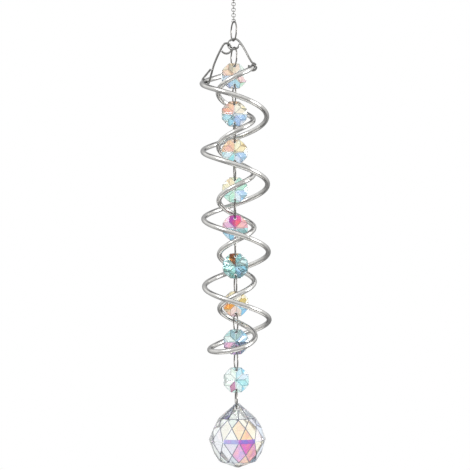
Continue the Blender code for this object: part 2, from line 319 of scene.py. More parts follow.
def softbox(name, place, aim, size, watts):
    """A square lamp with a cloth front, turned towards a point."""
    bpy.ops.object.light_add(type="AREA", location=place)
    lamp = bpy.context.object
    lamp.name = name
    lamp.data.size = size
    lamp.data.energy = watts
    lamp.rotation_euler = (Vector(aim) - Vector(place)).to_track_quat("-Z", "Y").to_euler()
    lamp.visible_camera = False


softbox("softbox_upper_left", (-0.55, -0.55, 0.35), LAMP_AIM, size=0.4, watts=2.6)
softbox("softbox_right", (0.7, -0.25, -0.05), LAMP_AIM, size=0.35, watts=4.5)
bpy.context.scene.view_settings.view_transform = "Standard"

# %% [markdown]
# ## Floor
# The suncatcher hangs well above a plain pale tabletop, which the picture doesn't reach.

# %% Pale floor
FLOOR_Z = -0.52
FLOOR_RADIUS = 0.26
FLOOR_THICKNESS = 0.02
FLOOR_ROUNDING = 0.004

put_down_everything()
bpy.ops.mesh.primitive_cylinder_add(
    vertices=96,
    radius=FLOOR_RADIUS,
    depth=FLOOR_THICKNESS,
    location=(0, 0, FLOOR_Z - FLOOR_THICKNESS / 2),
)
floor = bpy.context.object
floor.name = "pale_tabletop"
bpy.ops.object.transform_apply(location=True, rotation=True, scale=True)
finish_with(floor, "BEVEL", width=FLOOR_ROUNDING, segments=3, limit_method="ANGLE")
# Laminate is pressed paper in clear resin. Matt, it shows only a faint mottle, about 6 mm across.
tabletop, tree, shader = new_material("matt_white_laminate")
grain = add_node(tree, "ShaderNodeTexNoise", values={"Scale": 90.0, "Detail": 3.0})
tint = add_node(tree, "ShaderNodeValToRGB", links={"Fac": (grain, "Fac")})
paint_ramp(tint, ((0.3, "F1F0ED"), (0.7, "F7F6F4")))
tree.links.new(tint.outputs["Color"], shader.inputs["Base Color"])
shader.inputs["Roughness"].default_value = 0.6
floor.data.materials.append(tabletop)
print("floor", FLOOR_Z)

# %% [markdown]
# ## Polished steel wire
# The rod, the arms and the rings are stainless wire: drawn through a die, then tumbled bright. Close
# to, a drawn wire keeps faint lines along its length and a slightly uneven polish, which blurs what
# it mirrors a little here and there. The lines are a few hundredths of a millimetre apart, far too
# fine for this picture, so they are drawn ten times coarser and very shallow.

# %% Steel materials
# Patches of better and worse polish are about 3 mm across, and die lines about 0.3 mm apart.
PATCHES_A_METRE = 330.0
DIE_LINES_A_METRE = 3300.0
DIE_LINE_DEPTH = 0.00002
# A die line is drawn out to about twelve times its width.
DIE_LINE_STRETCH = 0.08


def drawn_steel(name, pale, dark, painted_rim_shade, smooth, dull):
    """Bright drawn wire: metallic, with the default IOR, and a polish between two roughnesses."""
    material, tree, shader = new_material(name)
    place = add_node(tree, "ShaderNodeTexCoord")
    patches = add_node(
        tree,
        "ShaderNodeTexNoise",
        values={"Scale": PATCHES_A_METRE, "Detail": 2.0},
        links={"Vector": (place, "Object")},
    )
    tone = add_node(tree, "ShaderNodeValToRGB", links={"Fac": (patches, "Fac")})
    paint_ramp(tone, ((0.30, dark), (0.70, pale)))
    along = add_node(
        tree,
        "ShaderNodeMapping",
        values={"Scale": (1.0, 1.0, DIE_LINE_STRETCH)},
        links={"Vector": (place, "Object")},
    )
    lines = add_node(
        tree,
        "ShaderNodeTexNoise",
        values={"Scale": DIE_LINES_A_METRE, "Detail": 2.0},
        links={"Vector": (along, "Vector")},
    )
    polish = add_node(
        tree,
        "ShaderNodeMapRange",
        values={"From Min": 0.3, "From Max": 0.7, "To Min": smooth, "To Max": dull},
        links={"Value": (lines, "Fac")},
    )
    relief = add_node(
        tree,
        "ShaderNodeBump",
        values={"Strength": 0.06, "Distance": DIE_LINE_DEPTH},
        links={"Height": (lines, "Fac")},
    )
    # Painted shade: the colour darkens at a shallow angle, which draws a dark line along the wire's sides,
    # where it would mirror the dark cards.
    facing = add_node(tree, "ShaderNodeLayerWeight", values={"Blend": 0.5})
    rim_shade_ramp = add_node(tree, "ShaderNodeValToRGB", links={"Fac": (facing, "Facing")})
    paint_ramp(rim_shade_ramp, ((0.50, "FFFFFF"), (0.82, painted_rim_shade)))
    rim_shaded_tone = add_node(
        tree,
        "ShaderNodeMix",
        MULTIPLY_COLOURS,
        values={"Factor": 1.0},
        links={MIX_FIRST: (tone, "Color"), MIX_SECOND: (rim_shade_ramp, "Color")},
    )
    shader.inputs["Metallic"].default_value = 1.0
    tree.links.new(rim_shaded_tone.outputs[MIX_RESULT], shader.inputs["Base Color"])
    tree.links.new(polish.outputs["Result"], shader.inputs["Roughness"])
    tree.links.new(relief.outputs["Normal"], shader.inputs["Normal"])
    return material


print("patches of polish in mm:", round(1000 / PATCHES_A_METRE, 1))

# %% The four steels
# Each steel: its pale and dark tone, its painted rim shade, and its smoothest and dullest polish. Thin
# wire is handled more, so it is duller than the rod. It also mirrors more of the dark cards, so its
# tones are set darker as painted shade.
rod_steel = drawn_steel("stainless_rod_tumbled_bright", "E2E1DE", "D0CFCC", "5C5C5C", 0.14, 0.24)
arm_steel = drawn_steel("stainless_arm_wire_bent", "A4A4A2", "8E8E8C", "808080", 0.20, 0.30)
ring_steel = drawn_steel("stainless_ring_wire_cut_and_closed", "989692", "807E7A", "7A7874", 0.20, 0.30)
chain_steel = drawn_steel("stainless_chain_wire_fine", "94938F", "7C7B77", "7A7874", 0.24, 0.34)
print("steels:", rod_steel.name, arm_steel.name, ring_steel.name, chain_steel.name)

# %% [markdown]
# ## Round rings
# The rings between the crystals are jump rings: wire wound on a mandrel, sawn into single turns and
# pressed shut, so each keeps a hairline slit. A torus primitive has no slit. Spinning the wire's
# round section almost all the way round, and closing both cut ends, makes the real thing.

# %% Bending and standing up a ring
SLIT = 0.00008
SMOOTH_BELOW = math.radians(40)


def spin_ring(name, radius, wire, steps, sides):
    """One jump ring, lying flat round the origin with its slit at +X."""
    put_down_everything()
    bpy.ops.mesh.primitive_circle_add(
        vertices=sides,
        radius=wire / 2,
        fill_type="NOTHING",
        location=(radius, 0, 0),
        rotation=(math.radians(90), 0, 0),
    )
    ring = bpy.context.object
    ring.name = name
    bpy.ops.object.transform_apply(location=True, rotation=True, scale=True)
    open_for_editing(ring)
    bpy.ops.mesh.spin(steps=steps, angle=2 * math.pi - SLIT / radius, center=(0, 0, 0), axis=(0, 0, 1))
    bpy.ops.mesh.select_all(action="DESELECT")
    bpy.ops.mesh.select_non_manifold()
    bpy.ops.mesh.fill_holes(sides=0)
    bpy.ops.mesh.select_all(action="SELECT")
    bpy.ops.mesh.normals_make_consistent(inside=False)
    bpy.ops.object.mode_set(mode="OBJECT")
    bpy.ops.object.shade_smooth_by_angle(angle=SMOOTH_BELOW)
    return ring


def upright(centre, turn, slit_angle):
    """Stands a flat ring up at its place. At turn 90 it is seen edge-on from the front."""
    stand = Matrix.Rotation(math.radians(90), 4, "X")
    slit = Matrix.Rotation(math.radians(slit_angle), 4, "Z")
    return Matrix.Translation(centre) @ Matrix.Rotation(math.radians(turn), 4, "Z") @ stand @ slit


print("slit in mm:", 1000 * SLIT)

# %% Jump rings
RING_RADIUS = 0.0053
RING_WIRE = 0.0008
# Where each slit is, in degrees round its ring. Every strand ring has it somewhere else.
FIRST_SLIT, NEXT_SLIT = 20, 37
TOP_RING_SLIT, HANGING_RING_SLIT = 30, 200

jump_ring = spin_ring("jump_ring", RING_RADIUS, RING_WIRE, steps=56, sides=14)
rings = []
for index, turn in enumerate(STRAND_RING_TURNS):
    rings.append((f"strand_ring_{index + 1:02d}", turn, FIRST_SLIT + NEXT_SLIT * index))
rings.append(("top_ring", TOP_RING_TURN, TOP_RING_SLIT))
rings.append(("hanging_ring", 0, HANGING_RING_SLIT))
for node, turn, slit in rings:
    hang_copy(jump_ring, node, upright(middle_of(node), 90 + turn, slit), ring_steel)
bpy.data.objects.remove(jump_ring)
print("jump rings:", len(rings))

# %% [markdown]
# ## Fine chain
# The chain is the same work at a smaller size: tiny rings, each at right angles to the next.

# %% Chain links
LINK_RADIUS = 0.001035
LINK_WIRE = 0.00038
LINK_COUNT = 11
FIRST_LINK_SLIT, NEXT_LINK_SLIT = 15, 50

link = spin_ring("small_link", LINK_RADIUS, LINK_WIRE, steps=32, sides=10)
for index in range(LINK_COUNT):
    node = f"chain_link_{index + 1:02d}"
    turn = 90 if index % 2 else 0
    place = upright(middle_of(node), turn, FIRST_LINK_SLIT + NEXT_LINK_SLIT * index)
    hang_copy(link, node, place, chain_steel)
bpy.data.objects.remove(link)
print("chain links:", LINK_COUNT)

# %% [markdown]
# ## Bending wire along a line
# The arms and the spiral are bent rods. Spinning gives only arcs about one axis, and here the axis
# changes all the way. So the rod's middle line is drawn as a curve, which gets a round thickness and
# is turned into a mesh. Then its cut ends are filed round with a bevel.

# %% Wire along a line
# Corners nearer to each other than this are one corner.
SAME_PLACE = 1e-7
# The cut ends are rounded by this share of the wire's width.
END_ROUNDING = 0.3
DEGREES_A_STEP = 7.0


def bend_wire(name, points, width, roundness):
    """A closed round wire along a line of points, with its cut ends filed round."""
    put_down_everything()
    bpy.ops.curve.primitive_bezier_curve_add()
    wire = bpy.context.object
    wire.name = name
    line = wire.data
    line.splines.clear()
    spline = line.splines.new("POLY")
    spline.points.add(len(points) - 1)
    for target, point in zip(spline.points, points):
        target.co = (*point, 1.0)
    line.dimensions = "3D"
    line.bevel_depth = width / 2
    line.bevel_resolution = roundness
    line.use_fill_caps = True
    bpy.ops.object.convert(target="MESH")
    open_for_editing(wire)
    bpy.ops.mesh.remove_doubles(threshold=SAME_PLACE)
    bpy.ops.mesh.normals_make_consistent(inside=False)
    bpy.ops.mesh.select_all(action="DESELECT")
    bpy.ops.object.mode_set(mode="OBJECT")
    # Only the two ends have more than four corners.
    for face in wire.data.polygons:
        face.select = len(face.vertices) > 4
    bpy.ops.object.mode_set(mode="EDIT")
    bpy.ops.mesh.bevel(offset=width * END_ROUNDING, segments=4, affect="EDGES")
    bpy.ops.object.mode_set(mode="OBJECT")
    bpy.ops.object.shade_smooth_by_angle(angle=SMOOTH_BELOW)
    return wire


def hang_wire(node, points, width, roundness, steel):
    """Bends a wire where it hangs, so that it needs no moving."""
    wire = bend_wire(node + "_piece", points, width, roundness)
    wire.data.materials.append(steel)
    hand_over(wire, node)
    print(node, "faces:", faces_of(wire))


def arc(centre, across, up, radius, start, end):
    """Points on a circle in the plane of two unit vectors, from one angle to another."""
    count = max(2, round(abs(end - start) / DEGREES_A_STEP))
    points = []
    for index in range(count + 1):
        angle = math.radians(start + (end - start) * index / count)
        points.append(centre + radius * (math.cos(angle) * across + math.sin(angle) * up))
    return points


print("an arc of a whole turn has", round(360 / DEGREES_A_STEP), "steps")

# %% [markdown]
# ## The spiral's middle line
# One rod makes both windings. It starts at the right, circles down round the strand, eases into its
# lowest point, widens as it turns back, and climbs outside its own first winding. Its height and its
# radius are both simple functions of the number of turns.

# %% Spiral line
ROD_WIDTH = 0.0028
ROD_TOP_Z = -0.050622
ROD_BOTTOM_Z = -0.207605
ROD_END_Z = -0.053122
INNER_RADIUS = 0.0096
OUTER_RADIUS = 0.0177
SPIRAL_SHIFT = 0.0008
OUTER_LEAN_ANGLE = 0.29
FIRST_TURN, DOWN_TO, LOWEST, CLIMB_FROM, LAST_TURN = 0.014, 5.18, 5.40, 5.68, 9.69
WIDEN_FROM, WIDEN_TO = 4.9, 5.85
STEPS_A_TURN = 56
INNER_PITCH = (ROD_TOP_Z - ROD_BOTTOM_Z) / (DOWN_TO + (LOWEST - DOWN_TO) / 2)
OUTER_PITCH = (ROD_END_Z - ROD_BOTTOM_Z) / (LAST_TURN - CLIMB_FROM + (CLIMB_FROM - LOWEST) / 2)


def rod_point(turn):
    """The rod's middle after so many turns. Turn 0 is at the right, and the rod passes the front first."""
    share = min(max((turn - WIDEN_FROM) / (WIDEN_TO - WIDEN_FROM), 0.0), 1.0)
    widened = share * share * (3 - 2 * share)
    radius = INNER_RADIUS + widened * (OUTER_RADIUS - INNER_RADIUS)
    if turn < DOWN_TO:
        height = ROD_TOP_Z - INNER_PITCH * turn
    elif turn < LOWEST:
        height = ROD_BOTTOM_Z + INNER_PITCH * (LOWEST - turn) ** 2 / (2 * (LOWEST - DOWN_TO))
    elif turn < CLIMB_FROM:
        height = ROD_BOTTOM_Z + OUTER_PITCH * (turn - LOWEST) ** 2 / (2 * (CLIMB_FROM - LOWEST))
    else:
        height = ROD_END_Z - OUTER_PITCH * (LAST_TURN - turn)
    lean = widened * math.tan(math.radians(OUTER_LEAN_ANGLE))
    across = SPIRAL_SHIFT - lean * (height - ROD_BOTTOM_Z)
    angle = -2 * math.pi * turn
    return Vector((across + radius * math.cos(angle), radius * math.sin(angle), height))


steps = round((LAST_TURN - FIRST_TURN) * STEPS_A_TURN)
rod_line = [rod_point(FIRST_TURN + (LAST_TURN - FIRST_TURN) * step / steps) for step in range(steps + 1)]
hang_wire("spiral_rod", rod_line, ROD_WIDTH, roundness=6, steel=rod_steel)

# %% [markdown]
# ## The two arms
# Two bent wires carry the spiral. Each has an open eye at its top, and the two eyes are linked like
# chain. The right arm ends in a small eye round the rod's upper end, and the left one in a long
# narrow loop under the rod. An eye is an arc of a circle in a tilted plane, and a leg is one smooth
# curve that leaves one eye and arrives at the next.

# %% Legs and planes
ARM_WIRE = 0.0011
EYE_LINE, EYE_TILT = 30.0, 22.0
LEG_STEPS = 24
# The rod's direction at a place is taken from two points, so many turns before and after it.
NEARBY = 0.001


def leg(start, start_pull, end, end_pull):
    """Points between two ends on a smooth curve, which leaves and arrives along the two pulls."""
    near, far = start + start_pull, end - end_pull
    points = []
    for step in range(1, LEG_STEPS):
        share = step / LEG_STEPS
        rest = 1 - share
        points.append(
            rest**3 * start + 3 * rest**2 * share * near + 3 * rest * share**2 * far + share**3 * end
        )
    return points


def eye_plane(side):
    """Both eyes lie along one rising line, each tilted to its own side of it."""
    line, tilt = math.radians(EYE_LINE), math.radians(EYE_TILT)
    along = Vector((math.cos(line), 0, math.sin(line)))
    across = Vector(
        (-math.sin(line) * math.cos(tilt), side * math.sin(tilt), math.cos(line) * math.cos(tilt))
    )
    return along, across


def foot_plane(turn):
    """Square to the rod: to the right, and upwards."""
    direction = (rod_point(turn + NEARBY) - rod_point(turn - NEARBY)).normalized()
    upward = (Vector((0, 0, 1)) - direction.z * direction).normalized()
    right = direction.cross(upward)
    return (right if right.x > 0 else -right), upward


print("arm wire in mm:", 1000 * ARM_WIRE)

# %% Right arm
RIGHT_EYE_Z = -0.038622
RIGHT_EYE_RADIUS = 0.00325
RIGHT_EYE_ARC = (-35, -307)
FOOT_RADIUS = 0.0021
RIGHT_FOOT_TURN = 0.03
RIGHT_FOOT_ARC = (85, -205)
RIGHT_ARRIVAL = math.radians(42)
# Pulls are shares of the way from one end of the leg to the other.
RIGHT_LEAVING_PULL, RIGHT_ARRIVING_PULL = 0.22, 0.17

along, across = eye_plane(1)
eye = arc(Vector((0, 0, RIGHT_EYE_Z)), along, across, RIGHT_EYE_RADIUS, *RIGHT_EYE_ARC)
right, up = foot_plane(RIGHT_FOOT_TURN)
foot = arc(rod_point(RIGHT_FOOT_TURN), right, up, FOOT_RADIUS, *RIGHT_FOOT_ARC)
length = (foot[0] - eye[-1]).length
leaving = (eye[-1] - eye[-2]).normalized() * length * RIGHT_LEAVING_PULL
arriving = Vector((math.cos(RIGHT_ARRIVAL), 0, -math.sin(RIGHT_ARRIVAL))) * length * RIGHT_ARRIVING_PULL
right_line = eye + leg(eye[-1], leaving, foot[0], arriving) + foot
hang_wire("bail_arm_right", right_line, ARM_WIRE, roundness=5, steel=arm_steel)

# %% Left arm
LEFT_EYE_RADIUS = 0.0028
LEFT_EYE_ARC = (180, 448)
EYE_SPACING = 0.00475
LEFT_FOOT_TURN = LAST_TURN - 0.115
LEFT_FOOT_LENGTH = 0.0102
LEFT_FOOT_LEAN = 38.5
FOOT_OPENING = 0.00125
LEFT_SHOULDER = 0.9
LEFT_LEAVING_PULL, LEFT_ARRIVING_PULL = 0.05, 0.30

along, across = eye_plane(-1)
eye_middle = Vector((0, 0, RIGHT_EYE_Z)) - EYE_SPACING * along
eye = arc(eye_middle, along, across, LEFT_EYE_RADIUS, *LEFT_EYE_ARC)
right, up = foot_plane(LEFT_FOOT_TURN)
lean = math.radians(LEFT_FOOT_LEAN)
tip_way = math.cos(lean) * up + math.sin(lean) * right
side_way = math.cos(lean) * right - math.sin(lean) * up
# The loop's two sides close in on each other by this angle each, and its bend goes round the rest.
narrow = math.asin(FOOT_RADIUS / LEFT_FOOT_LENGTH)
bend_arc = (math.degrees(narrow), -180 - math.degrees(narrow))
bend = arc(rod_point(LEFT_FOOT_TURN), side_way, tip_way, FOOT_RADIUS, *bend_arc)
rising = math.cos(narrow) * tip_way + math.sin(narrow) * side_way
falling = math.sin(narrow) * side_way - math.cos(narrow) * tip_way
straight = LEFT_FOOT_LENGTH * math.cos(narrow)
shoulder = bend[0] - falling * straight * LEFT_SHOULDER
end = bend[-1] + rising * (straight - FOOT_OPENING / 2 / math.tan(narrow))
length = (shoulder - eye[-1]).length
leaving = (eye[-1] - eye[-2]).normalized() * length * LEFT_LEAVING_PULL
arriving = falling * length * LEFT_ARRIVING_PULL
left_line = eye + leg(eye[-1], leaving, shoulder, arriving) + [shoulder] + bend + [end]
hang_wire("bail_arm_left", left_line, ARM_WIRE, roundness=5, steel=arm_steel)

# %% [markdown]
# ## Grinding facets
# A cut stone gets its shape on a flat turning wheel: the stone is held at a set angle, and all that
# lies beyond the wheel is ground away. Bisect does exactly that. It cuts with a plane, clears the
# outer side and closes the cut with one flat face, so each facet is truly flat and its edges are sharp.

# %% The grinding wheel and the drill
DRILL_SIDES = 32


def grind(point, outward):
    """Grinds one facet on the piece that is open for editing."""
    bpy.ops.mesh.select_all(action="SELECT")
    bpy.ops.mesh.bisect(
        plane_co=point, plane_no=outward, use_fill=True, clear_outer=True, threshold=SAME_PLACE
    )


def grind_through(first, second, third):
    """Grinds the facet that passes through three points, with the origin on the side that is kept."""
    first, second, third = Vector(first), Vector(second), Vector(third)
    outward = (second - first).cross(third - first).normalized()
    grind(first, outward if outward.dot(first) > 0 else -outward)


def drill(piece, height, width, length):
    """Drills a round hole from front to back at a height above the middle."""
    put_down_everything()
    bpy.ops.mesh.primitive_cylinder_add(
        vertices=DRILL_SIDES,
        radius=width / 2,
        depth=length,
        location=(0, 0, height),
        rotation=(math.radians(90), 0, 0),
    )
    bit = bpy.context.object
    finish_with(piece, "BOOLEAN", operation="DIFFERENCE", object=bit, solver="EXACT")
    bpy.data.objects.remove(bit)


print("the drill has", DRILL_SIDES, "sides")

# %% [markdown]
# ## Octagon crystals
# Each crystal is a drilled eight-sided stone, 14 mm across and 6.4 mm thick. Eight kite facets meet in
# a point on each face, two small triangles fill the space to each flat of the edge, and the edge is
# left 1.2 mm thick. One is cut with care and the other eight are copies.

# %% Cutting the octagon
ACROSS_FLATS = 0.014
CORNER_RADIUS = 0.00735
STAR_RADIUS = 0.0046
THICKNESS = 0.0064
EDGE = 0.0012
BLANK_RADIUS = 0.0082
BLANK_THICKNESS = 1.2 * THICKNESS
FLATS = 8
FLAT_TO_FLAT = 360 / FLATS
FLAT_TO_CORNER = FLAT_TO_FLAT / 2


def on_crystal(radius, degrees, depth):
    """A point at a radius and an angle round the crystal, so far behind its middle."""
    angle = math.radians(degrees)
    return (radius * math.cos(angle), depth, radius * math.sin(angle))


put_down_everything()
bpy.ops.mesh.primitive_cylinder_add(
    vertices=32, radius=BLANK_RADIUS, depth=BLANK_THICKNESS, rotation=(math.radians(90), 0, 0)
)
octagon = bpy.context.object
octagon.name = "octagon_model"
bpy.ops.object.transform_apply(location=True, rotation=True, scale=True)
open_for_editing(octagon)
# A kite falls evenly from the tip to its corner, and the star's points lie on it.
fall = (THICKNESS - EDGE) / 2 / CORNER_RADIUS
star_depth = THICKNESS / 2 - fall * STAR_RADIUS * math.cos(math.radians(FLAT_TO_CORNER))
flats = [FLAT_TO_FLAT * step for step in range(FLATS)]
for flat in flats:
    for corner in (flat - FLAT_TO_CORNER, flat + FLAT_TO_CORNER):
        grind_through(
            on_crystal(ACROSS_FLATS / 2, flat, 0),
            on_crystal(CORNER_RADIUS, corner, 0),
            on_crystal(ACROSS_FLATS / 2, flat, EDGE),
        )
for side in (-1, 1):
    for flat in flats:
        star_point = on_crystal(STAR_RADIUS, flat, side * star_depth)
        corner = on_crystal(CORNER_RADIUS, flat + FLAT_TO_CORNER, side * EDGE / 2)
        grind_through((0, side * THICKNESS / 2, 0), corner, star_point)
        for other in (flat - FLAT_TO_CORNER, flat + FLAT_TO_CORNER):
            grind_through(
                star_point,
                on_crystal(ACROSS_FLATS / 2, flat, side * EDGE / 2),
                on_crystal(CORNER_RADIUS, other, side * EDGE / 2),
            )
bpy.ops.mesh.select_all(action="SELECT")
bpy.ops.mesh.normals_make_consistent(inside=False)
bpy.ops.object.mode_set(mode="OBJECT")
print("facets of one crystal:", faces_of(octagon))

# %% [markdown]
# The wheel leaves every edge slightly rounded, so a narrow bevel follows. Its narrow faces carry
# painted shade, which draws the fine grey lines between the facets. The bevel comes before the two
# holes are drilled, because the short sides of a round hole would hold it back everywhere.

# %% Softening the edges and drilling
POLISHED_EDGE = 0.00012
HOLE_TO_CENTRE = 0.00515
CRYSTAL_HOLE = 0.0016
# Facets that differ by less than this have no edge between them.
LEAST_EDGE_ANGLE = math.radians(5)


def soften_edges(piece, width):
    """Bevels every edge and marks the narrow new faces, which get painted shade as grey lines between the
    facets.
    """
    # Two empty material slots: the bevel gives its new faces the second one.
    piece.data.materials.append(None)
    piece.data.materials.append(None)
    finish_with(
        piece,
        "BEVEL",
        width=width,
        segments=1,
        limit_method="ANGLE",
        angle_limit=LEAST_EDGE_ANGLE,
        material=1,
    )
    mark = piece.data.attributes.new("painted_edge_shade", "FLOAT", "FACE")
    for face in piece.data.polygons:
        mark.data[face.index].value = float(face.material_index == 1)
        face.material_index = 0
    piece.data.materials.clear()


def count_shaded_edges(piece):
    return sum(mark.value > 0.5 for mark in piece.data.attributes["painted_edge_shade"].data)


soften_edges(octagon, POLISHED_EDGE)
for side in (-1, 1):
    drill(octagon, side * HOLE_TO_CENTRE, CRYSTAL_HOLE, 2 * THICKNESS)
print("faces after drilling:", faces_of(octagon), "worn edges:", count_shaded_edges(octagon))

# %% [markdown]
# ## Crystal with a rainbow coating
# The stones are clear glass with a metal oxide film a few hundred nanometres thick, laid on in a
# vacuum. Light that bounces between the two faces of such a film comes back coloured, and the colour
# depends on the film's thickness and on the angle: cream, orange, rose and violet, then blue, sea
# green and clear again. So each facet has one colour, and its neighbour the next. The order of
# colours is a ramp, and each facet carries three numbers: how far along the ramp it is, how much of
# the film shows, and how much painted shade darkens it. A fourth is painted shade on the edges
# between the facets, which draws them as grey lines.

# %% The film's colours
FILM_COLOURS = (
    (0.00, "FDFDF4"),
    (0.10, "FFF2A4"),
    (0.20, "FFCE5C"),
    (0.28, "FA964E"),
    (0.34, "F46878"),
    (0.40, "E64ABC"),
    (0.46, "7C4EDC"),
    (0.53, "5688EE"),
    (0.64, "58C0F6"),
    (0.76, "60E0E4"),
    (0.88, "A8F2C2"),
    (1.00, "F2FCF2"),
)
print("colours in one order of the film:", len(FILM_COLOURS))

# %% Coated crystal material
# The film is never quite even: its order drifts by a few hundredths over about 4 mm.
FILM_DRIFT = 0.05
DRIFTS_A_METRE = 250.0


def coated_crystal(name, clear, edge, clearness, bending):
    """Cut glass. A little light scatters in the film. Painted shade darkens some facets and draws the
    edges between them as grey lines.
    """
    material, tree, shader = new_material(name)
    order = add_node(tree, "ShaderNodeAttribute", {"attribute_name": "film_order"})
    amount = add_node(tree, "ShaderNodeAttribute", {"attribute_name": "film_amount"})
    shade = add_node(tree, "ShaderNodeAttribute", {"attribute_name": "painted_facet_shade"})
    edge_shade_mark = add_node(tree, "ShaderNodeAttribute", {"attribute_name": "painted_edge_shade"})
    place = add_node(tree, "ShaderNodeTexCoord")
    drift = add_node(
        tree,
        "ShaderNodeTexNoise",
        values={"Scale": DRIFTS_A_METRE, "Detail": 1.0},
        links={"Vector": (place, "Object")},
    )
    shift = add_node(
        tree,
        "ShaderNodeMapRange",
        values={"From Min": 0.3, "From Max": 0.7, "To Min": -FILM_DRIFT, "To Max": FILM_DRIFT},
        links={"Value": (drift, "Fac")},
    )
    where = add_node(
        tree, "ShaderNodeMath", {"operation": "ADD"}, links={0: (order, "Fac"), 1: (shift, "Result")}
    )
    film = add_node(tree, "ShaderNodeValToRGB", links={"Fac": (where, "Value")})
    paint_ramp(film, FILM_COLOURS)
    tinted = add_node(
        tree,
        "ShaderNodeMix",
        MIX_COLOURS,
        values={MIX_FIRST: chart(clear)},
        links={"Factor": (amount, "Fac"), MIX_SECOND: (film, "Color")},
    )
    facet_shaded = add_node(
        tree,
        "ShaderNodeMix",
        MULTIPLY_COLOURS,
        values={"Factor": 1.0},
        links={MIX_FIRST: (tinted, MIX_RESULT), MIX_SECOND: (shade, "Color")},
    )
    coloured = add_node(
        tree,
        "ShaderNodeMix",
        MIX_COLOURS,
        values={MIX_SECOND: chart(edge)},
        links={"Factor": (edge_shade_mark, "Fac"), MIX_FIRST: (facet_shaded, MIX_RESULT)},
    )
    tree.links.new(coloured.outputs[MIX_RESULT], shader.inputs["Base Color"])
    shader.inputs["Transmission Weight"].default_value = clearness
    shader.inputs["Roughness"].default_value = 0.0
    shader.inputs["IOR"].default_value = bending
    return material


print("the film drifts over", 1000 / DRIFTS_A_METRE, "mm")

# %% The two crystals
# Full lead crystal bends light by 1.56, and the lighter crystal of a large ball by 1.52.
# The edge colour is the painted shade of the grey lines between the facets.
octagon_glass = coated_crystal(
    "lead_crystal_cut_and_film_coated", clear="F8FCFC", edge="6C7278", clearness=0.86, bending=1.56
)
ball_glass = coated_crystal(
    "lead_crystal_ball_film_coated", clear="FBFDFD", edge="464C60", clearness=0.82, bending=1.52
)
print("crystal materials:", octagon_glass.name, ball_glass.name)

# %% [markdown]
# ## Coating the facets
# In the coating chamber a stone faces the vapour with one side, so its film is thicker there and
# thins towards the other. So each crystal gets four numbers, the film's order on each quarter of it.
# Neighbouring facets differ a little more, as their angles do, and here and there painted shade
# darkens one of them, some with a deep film colour. The film is laid on the back of a stone, and what
# reaches its front is faint.

# %% Film orders of the crystals
# From the top crystal down: the order on its upper left, upper right, lower right and lower left.
CRYSTAL_FILMS = (
    (0.24, 0.99, 0.86, 0.56),
    (0.28, 0.12, 0.60, 0.68),
    (0.23, 0.14, 0.61, 0.73),
    (0.15, 0.84, 0.63, 0.86),
    (0.39, 0.35, 0.78, 0.70),
    (0.79, 0.74, 0.71, 0.79),
    (0.19, 0.13, 0.63, 0.27),
    (0.83, 0.65, 0.55, 0.38),
    (0.99, 0.69, 0.74, 0.98),
)
QUARTER_WAYS = (135, 45, -45, -135)
# Deep colours with painted shade, by crystal: the way from its middle in degrees, how far the colour
# reaches to each side of that, and the film's order and the painted shade there.
DEEP_COLOURS_AND_SHADE = {
    1: ((-22.5, 14, 0.35, 0.30),),
    5: ((74, 18, 0.36, 1.0), (106, 18, 0.38, 0.7)),
    6: ((104, 20, 0.27, 0.45),),
    7: ((-157.5, 9, 0.23, 0.85), (22.5, 9, 0.13, 0.70)),
    9: ((-112.5, 9, 0.40, 0.50),),
}
print("crystals with a deep colour:", len(DEEP_COLOURS_AND_SHADE))

# %% Laying the film on the facets
FILM_AND_SHADE_NAMES = ("film_order", "film_amount", "painted_facet_shade")
# A face whose normal leans this much to the front or the back is a facet, and the rest are the edge.
FACET_LEAN = 0.2
# Faces whose directions differ by less than about these steps are parts of one facet.
WAY_STEP = 11
LEANS_A_UNIT = 4
# What is drawn for a facet: a change of its order, how much of the film shows, and its luck.
ORDER_CHANGE = 0.05
LEAST_SHOWN = 0.60
CLEAR_LUCK, CLEAR_SHOWN = 0.88, 0.05
# Now and then a facet on the back gets this much painted shade, for a dark reflection inside the stone.
DARK_LUCK, DARK_SHADE = 0.14, 0.3
FRONT_SHARE = 0.45
EDGE_SHOWN = 0.5
# How much of the painted edge shade stays on the back, and round a deep colour.
BACK_EDGE_SHADE, DEEP_EDGE_SHADE = 0.25, 0.5


def coat(piece, film_of):
    """Writes each face's film order and amount and its painted shade, and scales its painted edge shade,
    worked out from where it looks.
    """
    for name in FILM_AND_SHADE_NAMES:
        piece.data.attributes.new(name, "FLOAT", "FACE")
    written = [piece.data.attributes[name].data for name in FILM_AND_SHADE_NAMES]
    edge_shade_mark = piece.data.attributes["painted_edge_shade"]
    for face in piece.data.polygons:
        *film, edge_shade_share = film_of(face.normal, face.center)
        for values, value in zip(written, film):
            values[face.index].value = min(max(value, 0.0), 1.0)
        edge_shade_mark.data[face.index].value *= edge_shade_share


